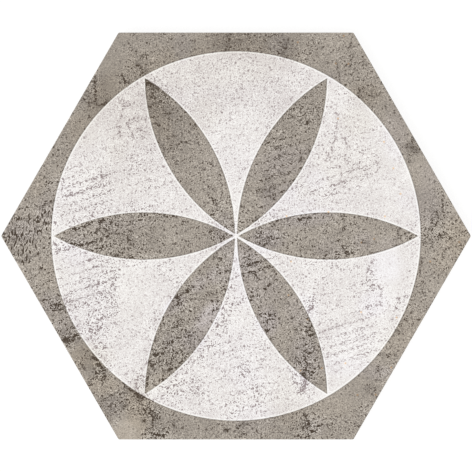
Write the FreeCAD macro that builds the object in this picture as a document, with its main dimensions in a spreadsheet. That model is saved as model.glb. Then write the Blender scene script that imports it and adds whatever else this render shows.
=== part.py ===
import FreeCAD, Part
import math
import os

import Sketcher

# A hexagonal floor tile of porcelain stoneware, dry pressed, glazed and fired as one piece.
# Lengths are millimetres and angles degrees. The back lies on z = 0, the glazed face looks
# along +Z, two corners lie on the X axis, and the origin is the middle of the back.

# Driving dimensions: the alias that the model is bound to, its value and what it measures.
SIZES = (
    ("across_flats", 230, "between two opposite straight sides, at the widest"),
    ("overall_thickness", 10, "from the back's ribs to the glazed face"),
    ("corner_radius", 1.2, "of the six upright corners"),
    ("face_edge_radius", 0.6, "of the arris round the glazed face"),
    ("side_band", 4.5, "height of the upright part of the sides, below the face"),
    ("side_draft", 3, "lean of the sides below that, for release from the die"),
    ("back_bevel", 0.5, "width of the bevel round the back"),
    ("rim_width", 6, "plain border of the back, between the bevel and the cells"),
    ("cell_width", 28, "across the flats of a keying cell, at its mouth"),
    ("rib_width", 3.2, "between the mouths of two neighbouring cells"),
    ("cell_depth", 0.8, "from the ribs to the floor of a keying cell"),
    ("cell_draft", 30, "lean of a cell's walls from upright"),
    ("cell_corner_radius", 3, "of the corners of a cell's mouth"),
)

# What the sizes above work out to, as expressions on the sheet.
DRAFTED_HEIGHT = "(sizes.overall_thickness - sizes.side_band)"
BACK_WIDTH = (
    f"(sizes.across_flats - 2 * {DRAFTED_HEIGHT} * tan(sizes.side_draft * 1 deg)"
    " - 2 * sizes.back_bevel)"
)
FIELD_WIDTH = f"({BACK_WIDTH} - 2 * sizes.rim_width)"
CELL_PITCH = "(sizes.cell_width + sizes.rib_width)"
ROW_SPACING = f"({CELL_PITCH} * cos(30 deg))"
# The last ring of cells is the last with its middles within the rim.
RING_COUNT = f"(floor({FIELD_WIDTH} / 2 / {ROW_SPACING} + 0.01))"
# How much a cell narrows for each millimetre of depth, on each side, and in all.
CELL_LEAN = "tan(sizes.cell_draft * 1 deg)"
FLOOR_INSET = f"(sizes.cell_depth * {CELL_LEAN})"
CUTTER_OVERRUN = 0.5  # how far the cutters stand out of the back, so that they cut cleanly

HEXAGON_SIDES = 6
SIDE_ANGLE = 360 / HEXAGON_SIDES
TILE_SIDE_ANGLE = 30  # bearing of the tile's first side, so that two corners lie on the X axis
CELL_SIDE_ANGLE = 0
SECTOR_COUNT = 3  # the honeycomb is a middle cell and three like sectors round it
SECTOR_ANGLE = 360 / SECTOR_COUNT
ON_PLANE = 1e-6

# The sketcher's numbers for a sketch's own origin and X axis, and for a line's two ends.
ORIGIN = X_AXIS = -1
START, END = 1, 2


def write_sizes(doc):
    sheet = doc.addObject("Spreadsheet::Sheet", "sizes")
    for row, (alias, value, meaning) in enumerate(SIZES, start=1):
        sheet.set(f"A{row}", meaning)
        sheet.set(f"B{row}", str(value))
        sheet.setAlias(f"B{row}", alias)
    doc.recompute()


def origin_feature(body, role):
    return next(f for f in body.Origin.OriginFeatures if f.Role == role)


def sketch_level_with_back(body, name):
    sketch = body.newObject("Sketcher::SketchObject", name)
    sketch.AttachmentSupport = [(origin_feature(body, "XY_Plane"), "")]
    sketch.MapMode = "FlatFace"
    return sketch


def rounded_hexagon(body, name, height, width, corner_radius, first_side):
    """A sketch of a regular hexagon with round corners, round its own origin.

    height above the back, width across the flats and corner_radius are expressions on the
    sheet. first_side is the bearing of the first side in degrees from the X axis.
    """
    sketch = sketch_level_with_back(body, name)
    sketch.setExpression("AttachmentOffset.Base.z", height)
    half_width = sketch.evalExpression(f"{width} / 2")
    radius = sketch.evalExpression(corner_radius)
    half_side = (half_width - radius) * math.tan(math.radians(SIDE_ANGLE / 2))

    def bearing(side):
        return math.radians(first_side + side * SIDE_ANGLE)

    def outward(side):
        return FreeCAD.Vector(math.cos(bearing(side)), math.sin(bearing(side)), 0)

    def along(side):
        return FreeCAD.Vector(-math.sin(bearing(side)), math.cos(bearing(side)), 0)

    for side in range(HEXAGON_SIDES):
        middle = outward(side) * half_width
        reach = along(side) * half_side
        sketch.addGeometry(Part.LineSegment(middle - reach, middle + reach))
    for side in range(HEXAGON_SIDES):
        centre = outward(side) * (half_width - radius) + along(side) * half_side
        circle = Part.Circle(centre, FreeCAD.Vector(0, 0, 1), radius)
        sketch.addGeometry(Part.ArcOfCircle(circle, bearing(side), bearing(side + 1)))

    for side in range(HEXAGON_SIDES):
        arc = HEXAGON_SIDES + side
        next_side = (side + 1) % HEXAGON_SIDES
        slope = bearing(side) + math.pi / 2
        sketch.addConstraint(Sketcher.Constraint("Tangent", side, END, arc, START))
        sketch.addConstraint(Sketcher.Constraint("Tangent", arc, END, next_side, START))
        sketch.addConstraint(Sketcher.Constraint("Angle", X_AXIS, side, slope))
        flat = sketch.addConstraint(
            Sketcher.Constraint("Distance", ORIGIN, START, side, half_width)
        )
        sketch.setExpression(f"Constraints[{flat}]", f"{width} / 2")
        corner = sketch.addConstraint(Sketcher.Constraint("Radius", arc, radius))
        sketch.setExpression(f"Constraints[{corner}]", corner_radius)
    return sketch


def level_edges(feature, height):
    """The names of a feature's edges that lie level at this height."""
    names = []
    for number, edge in enumerate(feature.Shape.Edges, start=1):
        box = edge.BoundBox
        if abs(box.ZMin - height) < ON_PLANE and abs(box.ZMax - height) < ON_PLANE:
            names.append(f"Edge{number}")
    return names


def add_blank(doc, tile):
    """The tile before its back is keyed: upright sides at the face, drafted ones below."""
    outline = rounded_hexagon(
        tile,
        "outline",
        DRAFTED_HEIGHT,
        "sizes.across_flats",
        "sizes.corner_radius",
        TILE_SIDE_ANGLE,
    )
    pressed = tile.newObject("PartDesign::Pad", "pressed_body")
    pressed.Profile = outline
    pressed.SideType = "Two sides"
    pressed.setExpression("Length", "sizes.side_band")
    pressed.setExpression("Length2", DRAFTED_HEIGHT)
    pressed.setExpression("TaperAngle2", "-sizes.side_draft * 1 deg")
    doc.recompute()

    bevel = tile.newObject("PartDesign::Chamfer", "bevelled_back")
    bevel.Base = (pressed, level_edges(pressed, 0))
    bevel.setExpression("Size", "sizes.back_bevel")
    doc.recompute()

    arris = tile.newObject("PartDesign::Fillet", "face_arris")
    arris.Base = (bevel, level_edges(bevel, bevel.Shape.BoundBox.ZMax))
    arris.setExpression("Radius", "sizes.face_edge_radius")
    doc.recompute()


def add_cutter(body, name, floor_outline, floor_height):
    """Pads a floor's outline down through the back, wider as it goes, at a cell's lean."""
    cutter = body.newObject("PartDesign::Pad", name)
    cutter.Profile = floor_outline
    cutter.Reversed = True
    cutter.setExpression("Length", f"{floor_height} + {CUTTER_OVERRUN}")
    cutter.setExpression("TaperAngle", "sizes.cell_draft * 1 deg")
    cutter.Refine = False
    return cutter


def add_cell(body, name, middle_x):
    """A solid the shape of one keying cell, its middle at this x."""
    floor = rounded_hexagon(
        body,
        f"{name}_floor",
        "sizes.cell_depth",
        f"(sizes.cell_width - 2 * {FLOOR_INSET})",
        f"(sizes.cell_corner_radius - {FLOOR_INSET})",
        CELL_SIDE_ANGLE,
    )
    floor.setExpression("AttachmentOffset.Base.x", middle_x)
    return add_cutter(body, name, floor, "sizes.cell_depth")


def add_linear_pattern(body, name, axis, occurrences):
    pattern = body.newObject("PartDesign::LinearPattern", name)
    pattern.Direction = axis
    pattern.Mode = "Spacing"
    pattern.setExpression("Offset", CELL_PITCH)
    pattern.setExpression("Occurrences", occurrences)
    return pattern


def add_honeycomb(doc, body):
    """A middle cell, and round it three sectors, each a lozenge of cells in slanting rows."""
    body.AllowCompound = True
    add_cell(body, "middle_cell", "0 mm")
    first_cell = add_cell(body, "first_cell", CELL_PITCH)
    doc.recompute()

    slant = sketch_level_with_back(body, "slant_of_the_rows")
    angle = math.radians(SECTOR_ANGLE)
    slant_end = FreeCAD.Vector(math.cos(angle), math.sin(angle), 0)
    slant_line = Part.LineSegment(FreeCAD.Vector(0, 0, 0), slant_end)
    is_construction = True
    slant.addGeometry(slant_line, is_construction)
    line = 0
    slant.addConstraint(Sketcher.Constraint("Coincident", line, START, ORIGIN, START))
    slant.addConstraint(Sketcher.Constraint("Angle", X_AXIS, line, angle))
    slant.addConstraint(Sketcher.Constraint("Distance", line, slant_end.Length))

    x_axis = (origin_feature(body, "X_Axis"), [""])
    slant_axis = (slant, ["Axis0"])
    row = add_linear_pattern(body, "cells_of_a_row", x_axis, RING_COUNT)
    rows = add_linear_pattern(body, "rows_of_a_sector", slant_axis, f"{RING_COUNT} + 1")

    sectors = body.newObject("PartDesign::PolarPattern", "sectors")
    sectors.Axis = (origin_feature(body, "Z_Axis"), [""])
    sectors.Mode = "Extent"
    sectors.Angle = 360
    sectors.Occurrences = SECTOR_COUNT

    honeycomb = body.newObject("PartDesign::MultiTransform", "honeycomb")
    honeycomb.Originals = [first_cell]
    honeycomb.Transformations = [row, rows, sectors]
    honeycomb.Refine = False
    body.Tip = honeycomb
    doc.recompute()


def add_field(doc, body):
    """The hexagon that the cells keep within, deeper than they are."""
    field_depth = "(2 * sizes.cell_depth)"
    outline = rounded_hexagon(
        body,
        "field_outline",
        field_depth,
        f"({FIELD_WIDTH} - 2 * {field_depth} * {CELL_LEAN})",
        "sizes.cell_corner_radius",
        TILE_SIDE_ANGLE,
    )
    add_cutter(body, "field_within_the_rim", outline, f"{field_depth} + {CUTTER_OVERRUN}")
    doc.recompute()


def add_boolean(doc, body, name, kind, other_body):
    boolean = body.newObject("PartDesign::Boolean", name)
    boolean.Type = kind
    boolean.Group = [other_body]
    boolean.Refine = False
    doc.recompute()


def check(doc, parts):
    for feature in doc.Objects:
        if "Invalid" in feature.State or "Error" in feature.State:
            raise RuntimeError(f"{feature.Name} did not recompute: {feature.State}")
    for part in parts:
        if part.Shape.isNull() or not part.Shape.isValid():
            raise RuntimeError(f"{part.Label} has no valid shape")


def main():
    doc = FreeCAD.newDocument("hexagon_tile")
    write_sizes(doc)

    tile = doc.addObject("PartDesign::Body", "hexagon_tile")
    tile.Label = "hexagon_tile"
    add_blank(doc, tile)

    cells = doc.addObject("PartDesign::Body", "keying_cells")
    add_honeycomb(doc, cells)
    field = doc.addObject("PartDesign::Body", "cell_field")
    add_field(doc, field)
    add_boolean(doc, cells, "cells_within_the_rim", "Common", field)
    add_boolean(doc, tile, "keyed_back", "Cut", cells)

    parts = [tile]
    check(doc, parts)
    os.makedirs("parts", exist_ok=True)
    for part in parts:
        part.Shape.exportStep(f"parts/{part.Label}.step")


main()
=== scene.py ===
import math
from functools import partial

import bmesh
import bpy
import numpy as np
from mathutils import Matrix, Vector, geometry, noise


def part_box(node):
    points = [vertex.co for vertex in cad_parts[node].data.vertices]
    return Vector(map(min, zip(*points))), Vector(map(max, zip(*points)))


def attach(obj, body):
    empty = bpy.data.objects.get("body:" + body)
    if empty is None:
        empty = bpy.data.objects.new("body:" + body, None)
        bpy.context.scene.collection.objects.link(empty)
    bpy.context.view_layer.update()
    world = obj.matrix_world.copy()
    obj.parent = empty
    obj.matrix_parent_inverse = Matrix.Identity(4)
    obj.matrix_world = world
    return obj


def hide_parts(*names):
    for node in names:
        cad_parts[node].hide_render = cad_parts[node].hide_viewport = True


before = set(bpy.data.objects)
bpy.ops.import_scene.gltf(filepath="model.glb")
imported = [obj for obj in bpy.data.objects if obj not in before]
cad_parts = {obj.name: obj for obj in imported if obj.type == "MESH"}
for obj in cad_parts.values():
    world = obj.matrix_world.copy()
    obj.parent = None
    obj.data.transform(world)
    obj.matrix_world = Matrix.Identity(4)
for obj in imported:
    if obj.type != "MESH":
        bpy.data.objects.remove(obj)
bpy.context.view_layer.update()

# The finish of a hexagonal floor tile: glazed porcelain stoneware, printed by ink jet with a
# six-petal rosette over the picture of an old, worn cement floor.
# Lengths are millimetres unless a name says otherwise. The mesh and the lights are in metres.

MM = 0.001

# The tile's own sizes, as its solid has them.
TILE = "hexagon_tile"
FACE_HEIGHT = 10
FLAT_TO_MIDDLE = 115
CORNER_RADIUS = 1.2
ARRIS_RADIUS = 0.6
BAND_HEIGHT = 4.5
SIDE_DRAFT = math.radians(3)
BACK_BEVEL = 0.5
CELL_DEPTH = 0.8
# Every rounded corner has its middle on this inner hexagon, whatever the height.
CORNER_MIDDLES = FLAT_TO_MIDDLE - CORNER_RADIUS

# The printed rosette: a pale disc, and petals drawn with the same compasses from its edge.
SIDES = 6
DISC_RADIUS = 104.26
PETAL_RADIUS = DISC_RADIUS - 0.62
EDGE_BLUR = 0.2

# How fine the face's mesh is, and how tightly its points gather at the rounded corners.
FACE_RINGS = 150
CORNER_RINGS = 14
CORNER_PULL = 0.8
CORNER_REACH = 4
ARRIS_STEPS = 4
SMOOTH_UP_TO = math.radians(32)
# The heights at which the side has further rows of points, on the band and below it.
BAND_ROWS = (8.6, 7.4)
LOWER_ROWS = (3.6, 1.9)
# The rows of the side that the glaze covers whole: the arris and the top of the band.
GLAZED_ROWS = ARRIS_STEPS + 1

# The face's relief: how wide and how deep its waves, ripples and worn pits are.
FACE_DIP = 0.07
WAVE_WIDTH = 34
WAVE_DEPTH = 0.07
RIPPLE_WIDTH = 11
RIPPLE_DEPTH = 0.035
PIT_WIDTH = 3.2
PIT_DEPTH = 0.05
PIT_FROM = 0.12
DEEPEST = 0.22
LEVEL_RIM = 2.5

# The map of the tile's textures is one square: the face on top, below it on the left the back,
# and to the right of that the six sides in two columns. Each place is a share of the square,
# and each span is how many millimetres the square's breadth would hold.
FACE_MAP_MIDDLE = (0.445, 0.611)
FACE_MAP_SPAN = 302
BACK_MAP_MIDDLE = (0.130, 0.112)
BACK_MAP_SPAN = 1080
SIDE_MAP_LEFT = (0.265, 0.632)
SIDE_MAP_TOP = (0.205, 0.150, 0.095)
SIDE_MAP_SPAN = 369


def linear(hex_colour):
    """An sRGB hex colour as linear red, green, blue and alpha."""
    channels = [int(hex_colour[i:i + 2], 16) / 255 for i in (0, 2, 4)]
    return [c / 12.92 if c <= 0.04045 else ((c + 0.055) / 1.055) ** 2.4 for c in channels] + [1]


def lightness(hex_colour):
    """How light an sRGB hex colour is, from 0 to 1, as the eye weighs its channels."""
    red, green, blue = (int(hex_colour[i:i + 2], 16) / 255 for i in (0, 2, 4))
    return 0.299 * red + 0.587 * green + 0.114 * blue


# What the worn cement looks like, place by place

# The patches below are placed over the face. Each is the middle x and y, half the
# length, half the breadth and the value it brings. After that comes the slope of its length in
# degrees, where it isn't 0, and how wide its edge is as a share of its size, where it isn't 1.

# How strongly the cement is speckled: 1 is the usual, 0.35 a nearly smooth patch.
WEAR_USUAL = 0.68
WEAR = (
    # left corner and left border
    (-105, -22, 12, 9, 0.85), (-124, 0, 11, 15, 1.2), (-109, 6, 14, 10, 1.2), (-105, -8, 8, 5, 1),
    (-88, 6, 6, 5, 1.9), (-74, 6, 6, 10, 1.9), (-92, -5, 11, 3.5, 2.3, 5), (-59, -3, 8, 5, 1.05),
    (-92, -28, 6, 6, 1), (-92, -42, 9, 6, 1), (-90, 25, 9, 12, 1.3), (-78, 30, 6, 8, 1.3),
    (-78, 18, 5, 5, 1.6), (-77, -10, 9, 46, 1.4), (-76, -32, 9, 14, 1.5, 0, 0.5),
    (-69, -30, 6, 15, 1.7, 0, 0.5), (-95, -37, 14, 4, 1.8, 12), (-78, -33, 5, 5, 1.8),
    (-78, -50, 6, 8, 1.8), (-93, -57, 11, 4, 1.75, 40), (-74, -63, 5, 5, 1.6),
    (-101, 31, 4, 7, 1.1, -60), (-101, -51, 4, 6, 1.1, -60), (-76, -76, 6, 8, 1.5),
    (-85, 60, 18, 8, 0.42, 60), (-73, 95, 11, 16, 0.1), (-62, -110, 11, 9, 0.08, 0, 0.5),
    (-50, -32, 17, 24, 0.5, 0, 0.12), (-55, -14, 16, 4, 1.2), (-36, -21, 11, 5, 1, -20),
    (-43, -49, 8, 7, 1.15), (-62, -66, 12, 7, 0.55), (-70, -103, 4, 5, 0.7),
    (-90, -64, 5, 4, 0.15, -60), (-83, -75, 3, 5, 0.15), (-96, -60, 4, 4, 1.4),
    # upper left
    (-46, 80, 10, 5, 1.5, -60), (-46, 73, 5, 6, 1.2), (-58, 60, 10, 25, 0.75),
    (-64, 74, 5, 6, 0.8), (-80, 88, 4, 8, 1), (-60, 90, 6, 6, 0.95), (-29, 50, 26, 9, 0.65, -60),
    (-44, 84, 8, 4, 1.1, -60), (-22, 107, 15, 9, 0.42), (-51, 112, 8, 4, 0.4),
    (-41, 79, 4, 5, 1.4), (-66, 112, 7, 5, 0.05), (-48, 36, 12, 12, 0.95), (-54, 13, 16, 6, 1.25),
    (0, 19, 3, 8, 0.2),
    # middle
    (0, 5, 4, 5, 1.7), (-8, 0, 8, 5, 1.5), (18, -1, 9, 4, 1.5, 10), (8, -16, 8, 7, 1.6),
    (-5, -18, 6, 5, 1.45), (-7, 12, 8, 10, 1.15), (37, 10, 7, 3, 1.3, 10), (27, 8, 7, 4, 0.95, 10),
    (17, 8, 7, 3.5, 1.5, 30), (0, -66, 5, 8, 1), (62, -10, 7, 4, 1.3, 15), (-31, -32, 5, 8, 1.5),
    (-33, -54, 10, 8, 1.55), (-30, -38, 7, 9, 1.3), (-6, -22, 6, 12, 1.3), (-27, -70, 9, 6, 1.45),
    (-40, -64, 8, 6, 1.7), (-6, -40, 9, 4, 1.75, 15), (-8, -50, 5, 8, 1.6), (-15, -63, 8, 7, 1.4),
    (5, -76, 6, 6, 1.5), (12, -88, 7, 8, 1.35), (0, -97, 7, 6, 1.35), (16, -48, 6, 6, 1.4),
    (10, -35, 6, 5, 1.3),
    # lower left
    (-40, -72, 12, 7, 1.5), (-35, -86, 8, 8, 1.65), (-54, -84, 6, 6, 1.7), (-48, -97, 6, 6, 1.6),
    (-45, -113, 8, 6, 1.6), (-65, -92, 10, 6, 1.25), (-22, -86, 6, 7, 1.35),
    (-22, -107, 14, 6, 0.5),
    # lower right
    (41, -62, 6, 28, 1.3), (43, -40, 3, 7, 1.6), (42, -56, 4, 8, 1.65), (38, -80, 7, 9, 1.65),
    (41, -110, 6, 8, 1.5), (69, -60, 18, 8, 0.95, 15), (77, -26, 7, 6, 1.4), (75, -42, 5, 6, 0.95),
    (93, -38, 5, 6, 1.2), (89, -18, 8, 14, 0.05), (94, -62, 6, 8, 0.45, 60),
    (73, -100, 6, 6, 0.85), (82, -83, 5, 5, 1.1), (13, -62, 6, 10, 1.05), (-8, -76, 6, 6, 0.95),
    (52, -15, 18, 4, 1.05), (45, -24, 6, 6, 0.95), (24, -23, 6, 5, 1, -60),
    (20, -13, 5, 3.5, 1.1, -30), (65, -86, 18, 13, 0.3),
    # right corner and upper right
    (110, 3, 16, 8, 1), (118, 1, 7, 4, 1.45), (115, 16, 6, 5, 0.65), (104, -13, 6, 8, 0.42),
    (77, 0, 9, 7, 0.45), (105, 20, 5, 7, 0.35), (89, 64, 13, 6, 0.25, -60), (65, 111, 6, 5, 0.4),
    (56, 112, 6, 4, 0.42), (31, 111, 8, 5, 0.42), (21, 95, 8, 5, 0.5), (90, 20, 12, 18, 0.42),
    (103, 34, 9, 14, 0.2), (80, 65, 10, 8, 0.5), (50, 95, 9, 6, 0.4), (112, -28, 8, 10, 0.4),
    (40, 68, 10, 7, 1.2), (52, 48, 8, 9, 0.8), (22, 54, 6, 7, 1.15), (60, 32, 16, 6, 0.9, 30),
    (50, 25, 8, 6, 1), (36, 25, 8, 5, 1.15), (68, 55, 10, 12, 0.7), (84, 38, 12, 20, 0.4),
    (72, 40, 9, 11, 0.95),
    # small ones all round
    (-71, -104, 5, 5, 1.05), (-4, -10, 4, 5, 1.35), (-95, -62, 4, 4, 1.9), (86, -78, 4, 4, 1),
    (97, 46, 4, 5, 0.62, -60), (74, -99, 5, 5, 1, 60), (55, -97, 5, 4, 0.3, 30),
    (-48, -83, 3, 5, 1), (-38, 97, 5, 4, 0.42), (-61, -82, 4, 4, 0.65),
)

# How much lighter or darker the cement is, in steps of 1/255 of the way from black to white.
SHADE_USUAL = 0
SHADE = (
    # upper left and the top border
    (-76, 98, 8, 12, 3), (0, 85, 42, 20, -5), (8, 108, 24, 9, -20), (-4, 110, 7, 5, -24),
    (26, 104, 8, 5, -20), (-50, 65, 35, 25, -13), (-46, 61, 4, 6, -19, -60), (-52, 71, 5, 7, -18),
    (-46, 78, 14, 6, -34, -60), (-80, 82, 8, 12, -18), (-54, 93, 6, 8, -18), (-61, 88, 5, 6, -20),
    (-28, 102, 12, 7, -10), (-17, 96, 9, 7, -12), (-38, 107, 10, 6, -9), (-56, 27, 12, 13, -8),
    # left
    (-60, 0, 16, 12, -9), (-76, 0, 10, 45, -5), (-88, 25, 12, 6, 10), (-75, 5, 8, 12, -9),
    (-127, 0, 8, 7, -17), (-108, -6, 3, 6, -9), (-92, -10, 7, 5, 4), (-46, 13, 10, 4, -8),
    (-60, -14, 10, 4, -9), (-110, -20, 8, 8, 3), (-95, -58, 11, 5, -26, 45),
    (-97, -38, 14, 4, -14, 12), (-76, -35, 8, 14, -6), (-78, -52, 6, 7, -4), (-80, -62, 5, 5, 6),
    (-50, -32, 17, 24, 3, 0, 0.12),
    # lower left
    (-80, -70, 12, 6, -18, -60), (-70, -95, 12, 6, -27, 30), (-55, -87, 6, 6, -22),
    (-46, -105, 5, 12, -20), (-62, -110, 8, 7, 25), (-46, -84, 3, 5, 8), (-33, -35, 7, 5, -14, 60),
    (-40, -68, 12, 10, -17), (-27, -62, 8, 4, -20, 60), (-34, -69, 10, 4, -22, 60),
    (-33, -54, 7, 9, -19), (-42, -50, 6, 7, -14), (-8, -33, 4, 5, 7), (-19, -58, 5, 6, -9),
    (-25, -88, 8, 8, -9), (-36, -91, 7, 5, -8), (-17, -101, 6, 4, -9), (24, -99, 7, 6, -8),
    (-72, -101, 5, 5, -17), (-16, -46, 9, 5, 27, 60), (-21, -27, 4, 3, 10, 45),
    (-12, -22, 4, 3, 12, 45), (-15, -17, 6, 4, -8, 45),
    # middle
    (-10, -1, 6, 8, -18), (18, -2, 7, 4, -16, 10), (11, -20, 9, 6, 8, -30), (27, 8, 8, 4, -11, 10),
    (41, -9, 7, 3.5, -8, -15), (-5, 11, 4, 6, -9), (-14, 18, 5, 5, 6), (60, 11, 7, 6, 8),
    (0, 45, 20, 25, 3), (20, 28, 5, 9, -6),
    # lower right
    (68, -62, 16, 10, 13), (27, -49, 7, 9, 6, -60), (26, -82, 5, 12, -5), (40, -55, 6, 12, -10),
    (39, -78, 5, 14, -3), (38, -87, 5, 4, -6), (39, -110, 5, 6, -13), (46, -104, 7, 5, 8),
    (24, -111, 8, 6, -9), (95, -62, 6, 8, 9, 60), (85, -15, 7, 20, 12), (82, -50, 5, 12, 8),
    (58, -92, 10, 8, 8), (65, -78, 8, 6, 10), (112, -30, 8, 8, 10),
    # upper right
    (40, 68, 9, 5, -10), (31, 70, 10, 7, -14, 60), (44, 69, 6, 6, -13), (20, 57, 6, 5, -9, 60),
    (26, 98, 8, 5, -16, -15), (25, 34, 7, 7, 6, 55), (34, 46, 7, 6, 6), (55, 44, 10, 10, 1),
    (62, 68, 8, 8, -5), (73, -3, 8, 8, 10), (98, -1, 5, 4, 13), (110, -14, 10, 10, 9),
    (108, 4, 6, 6, 10), (121, 16, 5, 5, 13), (102, -31, 5, 5, 7), (77, -41, 6, 6, 8),
    (80, -79, 6, 5, 6, 45), (62, 33, 9, 6, -5, 30), (100, 51, 5, 4, -20), (73, 80, 8, 8, -8),
    (106, 35, 10, 8, 12), (92, 58, 7, 7, 8), (57, 112, 8, 5, 10),
    # small ones all round
    (-42, 80, 5, 3, -30, -60), (-55, 84, 3.5, 4, -13), (-41, 48, 5, 5, -5, -60),
    (-9, 39, 3, 6, -4), (-65, 13, 7, 5, -11), (-45, 12, 6, 3.5, -13), (-82, -61, 3, 4, -7),
    (-49, -73, 3.5, 5, -18), (-27, -66, 5, 3, -20, 60), (12, -71, 5, 6, 5), (36, -36, 8, 6, 6),
    (64, -11, 7, 3.5, 6), (53, -79, 3, 5, 5), (38, -95, 5, 3, -6, 15), (71, -103, 5, 4, -6, 60),
    (24, 20, 5, 4, 3, 30), (44, 51, 5, 6, -6), (99, 58, 4, 4, 8), (54, 88, 4, 5, -6),
)

# How much warmer than usual the cement is, in steps of 1/255. What is below 0 is cooler.
WARMTH_USUAL = 0
WARMTH = (
    # top and upper left
    (-20, 96, 48, 13, 3.5, 6), (8, 100, 14, 12, 3.5), (-30, 108, 5, 9, -2.5), (24, 108, 6, 7, -2),
    (-60, 68, 20, 18, 3.5), (-60, 72, 9, 12, 4.5), (-18, 70, 9, 10, 3), (-85, 60, 10, 10, 3.5),
    (-65, 35, 22, 14, 1.5),
    # left
    (-112, 28, 6, 6, 2.5), (-107, 15, 5, 8, -4), (-120, 3, 10, 6, -4), (-100, 25, 8, 7, -2),
    (-66, 7, 16, 4, -2.5), (-90, -8, 8, 10, -3.5), (-104, -22, 8, 8, 1.5), (-105, -38, 6, 6, -4),
    (-95, -50, 7, 8, -3.5), (-65, -30, 14, 20, 1), (-81, -40, 11, 20, -1.5), (-82, -68, 12, 7, 5),
    # lower left
    (-75, -84, 9, 6, 4.5), (-55, -98, 7, 18, 5.5), (-70, -96, 5, 5, -2), (-40, -83, 9, 6, 2.5),
    (-35, -39, 8, 4, -6, 40), (-16, -46, 10, 5, -10, 55), (-21, -27, 5, 4, -7, 45),
    (-12, -22, 5, 4, -7, 45), (-24, -59, 7, 6, -7), (-37, -60, 4, 5, -3),
    # middle
    (-6, 0, 6, 12, -5), (5, -15, 9, 10, -7), (17, -2, 9, 7, -7), (20, 20, 6, 10, -5),
    (27, 42, 8, 18, -5, -75), (40, 10, 16, 5, -6, 8), (0, 42, 16, 12, -1.5), (-6, -22, 6, 5, -4),
    (12, -30, 14, 10, -4), (18, -48, 6, 8, -8),
    # lower right and bottom
    (0, -65, 14, 14, -2), (5, -80, 10, 8, -3), (10, -103, 12, 8, -3), (30, -92, 9, 14, 2.5),
    (39, -70, 8, 14, -5.5), (60, -73, 16, 6, -3.5), (55, -97, 12, 6, 1.5), (65, -58, 12, 8, -1.5),
    (45, -108, 6, 5, -2.5), (80, -77, 8, 4, -5), (84, -17, 9, 10, -5), (78, -38, 7, 9, -5, -60),
    (95, -56, 10, 14, 2.5, -45), (72, -3, 6, 5, -3.5), (53, -8, 8, 6, -3),
    # right
    (125, -2, 9, 12, 5.5), (118, -14, 7, 8, 3), (108, 18, 7, 12, -4.5), (97, 20, 6, 6, -3),
    (110, 35, 6, 8, -3.5), (90, 57, 7, 14, -4), (62, 42, 20, 12, 2), (68, 65, 9, 9, 4),
    (73, 80, 9, 6, 3.5), (55, 90, 6, 4, -2), (45, 32, 6, 6, -3),
    # small ones all round
    (-75, 80, 12, 6, 5, 60), (-45, 68, 18, 5, 3.5, -62), (-4, 112, 14, 4, 3.5), (-67, 50, 6, 8, 4),
    (29, 24, 6, 8, -4.5), (36, 17, 10, 3, -3.5, 20), (37, -42, 9, 9, -4, -60),
    (86, -5, 6, 4, -3.5), (-62, -112, 7, 5, 2),
)

# Where the dark dots line up along strokes that rise to the right, as trowelled cement shows
# them, from 0 for not at all to 1.
LINED_UP_USUAL = 0.25
LINED_UP = (
    (28, 38, 22, 14, 0.9, 55), (62, -60, 20, 14, 1, 15), (12, -18, 14, 9, 0.9, 15),
    (-88, 24, 16, 12, 0.8, 15), (-88, -20, 14, 14, 0.7, 15), (-84, 0, 14, 8, 0.6, 10),
    (-98, -38, 16, 8, 0.6, 10), (60, 33, 16, 8, 0.6, 20), (105, -8, 12, 20, 0), (0, 85, 40, 16, 0),
)

# Where the pits join into a maze of upright worm lines.
MAZE_USUAL = 0
MAZE = ((-121, -1, 13, 15, 1), (-110, 7, 9, 9, 0.9))

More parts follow.
